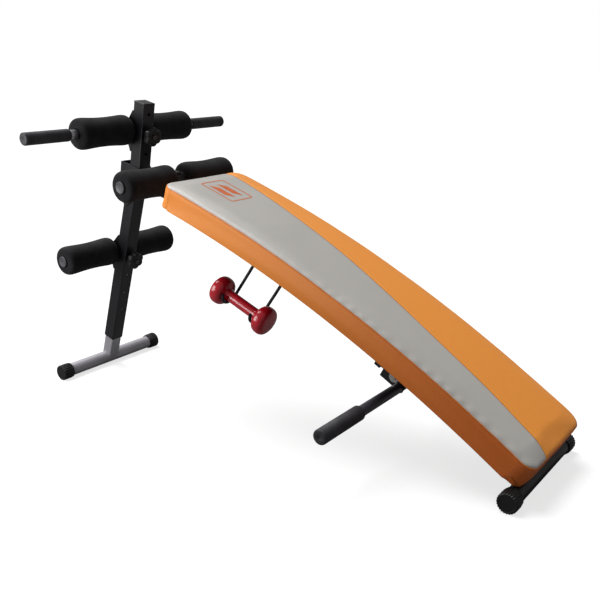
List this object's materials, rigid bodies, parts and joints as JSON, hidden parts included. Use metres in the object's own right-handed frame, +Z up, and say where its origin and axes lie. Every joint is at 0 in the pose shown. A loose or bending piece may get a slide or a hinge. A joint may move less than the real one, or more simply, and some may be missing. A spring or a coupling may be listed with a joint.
{
  "type": "decline sit up bench",
  "caption": "Folding decline sit-up bench with an arched padded board, foam ankle and knee rollers, push-up handles and a hanging dumbbell.",
  "frame": {"origin": "middle of the overall length and width, on the floor", "axes": "+X from the adjustable leg towards the low end of the pad, +Y the far side, +Z up"},
  "size_m": [1.4934, 0.684, 0.8042],
  "materials": {
    "black_paint": "satin",
    "silver_paint": "satin",
    "chrome": "polished",
    "zinc_steel": "satin",
    "black_plastic": "satin",
    "grip_rubber": "matte",
    "black_foam": "matte",
    "pad_cover": "satin",
    "pad_wood": "matte",
    "red_vinyl_iron": "gloss"
  },
  "bodies": {
    "frame": {"mast_tube": "black_paint", "mast_plug": "black_plastic", "fold_bracket": "black_paint", "fold_pivot_bolt": "zinc_steel", "fold_stop_bolt": "zinc_steel", "main_beam": "black_paint", "middle_bar": "chrome", "middle_bar_saddle": "black_paint", "middle_foam_discs": "black_plastic", "middle_bar_plugs": "black_plastic", "middle_bar_bolt": "zinc_steel", "rear_foot_tube": "black_paint", "rear_foot_cap_near": "black_plastic", "rear_foot_cap_far": "black_plastic", "pad_cushion": "pad_cover", "pad_board": "pad_wood", "pad_support_plates": "black_paint", "pad_screws": "zinc_steel", "handle_bracket": "black_paint", "handle_bar": "black_paint", "handle_clamp_bolt": "zinc_steel", "handle_stud_nut": "zinc_steel", "handle_grip_near": "grip_rubber", "handle_grip_far": "grip_rubber", "dumbbell_hook_upper": "black_paint", "dumbbell_hook_lower": "black_paint"},
    "leg": {"leg_outer_tube": "black_paint", "leg_tube_bushing": "black_plastic"},
    "front_foot": {"leg_inner_tube": "silver_paint", "front_foot_tube": "silver_paint", "front_foot_cap_near": "black_plastic", "front_foot_cap_far": "black_plastic"},
    "lower_roller_bar": {"lower_bar": "chrome", "lower_bar_saddle": "black_paint", "lower_foam_discs": "black_plastic", "lower_bar_plugs": "black_plastic", "lower_bar_bolt": "zinc_steel"},
    "top_roller_bar": {"top_bar": "chrome", "top_bar_saddle": "black_paint", "top_foam_discs": "black_plastic", "top_grip_near": "grip_rubber", "top_grip_far": "grip_rubber", "top_bar_bolt": "zinc_steel"},
    "lower_knob": {"lower_bar_knob": "black_plastic"},
    "top_knob": {"top_bar_knob": "black_plastic"},
    "lower_near_foam": {"lower_foam_near": "black_foam"},
    "lower_far_foam": {"lower_foam_far": "black_foam"},
    "middle_near_foam": {"middle_foam_near": "black_foam"},
    "middle_far_foam": {"middle_foam_far": "black_foam"},
    "top_near_foam": {"top_foam_near": "black_foam"},
    "top_far_foam": {"top_foam_far": "black_foam"},
    "dumbbell_weight": {"dumbbell": "red_vinyl_iron"}
  },
  "joints": [
    {"name": "leg_fold", "type": "hinge", "parent": "frame", "child": "leg", "pos_m": [-0.51216, 0, 0.54518], "axis": [0, -1, 0], "range_deg": [0, 70]},
    {"name": "foot_extend", "type": "slide", "parent": "leg", "child": "front_foot", "axis": [-0.3746, 0, -0.9272], "range_m": [0, 0.124]},
    {"name": "lower_bar_pull", "type": "slide", "parent": "leg", "child": "lower_roller_bar", "axis": [-0.9272, 0, 0.3746], "range_m": [0, 0.1]},
    {"name": "top_bar_pull", "type": "slide", "parent": "frame", "child": "top_roller_bar", "axis": [-0.9641, 0, 0.2656], "range_m": [0, 0.1]},
    {"name": "lower_knob_turn", "type": "hinge", "parent": "leg", "child": "lower_knob", "pos_m": [-0.56554, 0, 0.35967], "axis": [0.9272, 0, -0.3746], "continuous": true},
    {"name": "top_knob_turn", "type": "hinge", "parent": "frame", "child": "top_knob", "pos_m": [-0.4325, 0, 0.71337], "axis": [0.9641, 0, -0.2656], "continuous": true},
    {"name": "lower_near_foam_spin", "type": "hinge", "parent": "lower_roller_bar", "child": "lower_near_foam", "pos_m": [-0.617, 0, 0.38046], "axis": [0, 1, 0], "continuous": true},
    {"name": "lower_far_foam_spin", "type": "hinge", "parent": "lower_roller_bar", "child": "lower_far_foam", "pos_m": [-0.617, 0, 0.38046], "axis": [0, 1, 0], "continuous": true},
    {"name": "middle_near_foam_spin", "type": "hinge", "parent": "frame", "child": "middle_near_foam", "pos_m": [-0.33449, 0, 0.59901], "axis": [0, 1, 0], "continuous": true},
    {"name": "middle_far_foam_spin", "type": "hinge", "parent": "frame", "child": "middle_far_foam", "pos_m": [-0.33449, 0, 0.59901], "axis": [0, 1, 0], "continuous": true},
    {"name": "top_near_foam_spin", "type": "hinge", "parent": "top_roller_bar", "child": "top_near_foam", "pos_m": [-0.48601, 0, 0.72811], "axis": [0, 1, 0], "continuous": true},
    {"name": "top_far_foam_spin", "type": "hinge", "parent": "top_roller_bar", "child": "top_far_foam", "pos_m": [-0.48601, 0, 0.72811], "axis": [0, 1, 0], "continuous": true},
    {"name": "dumbbell_lift", "type": "slide", "parent": "frame", "child": "dumbbell_weight", "axis": [0.3758, -0.3746, 0.8476], "range_m": [0, 0.1]}
  ]
}
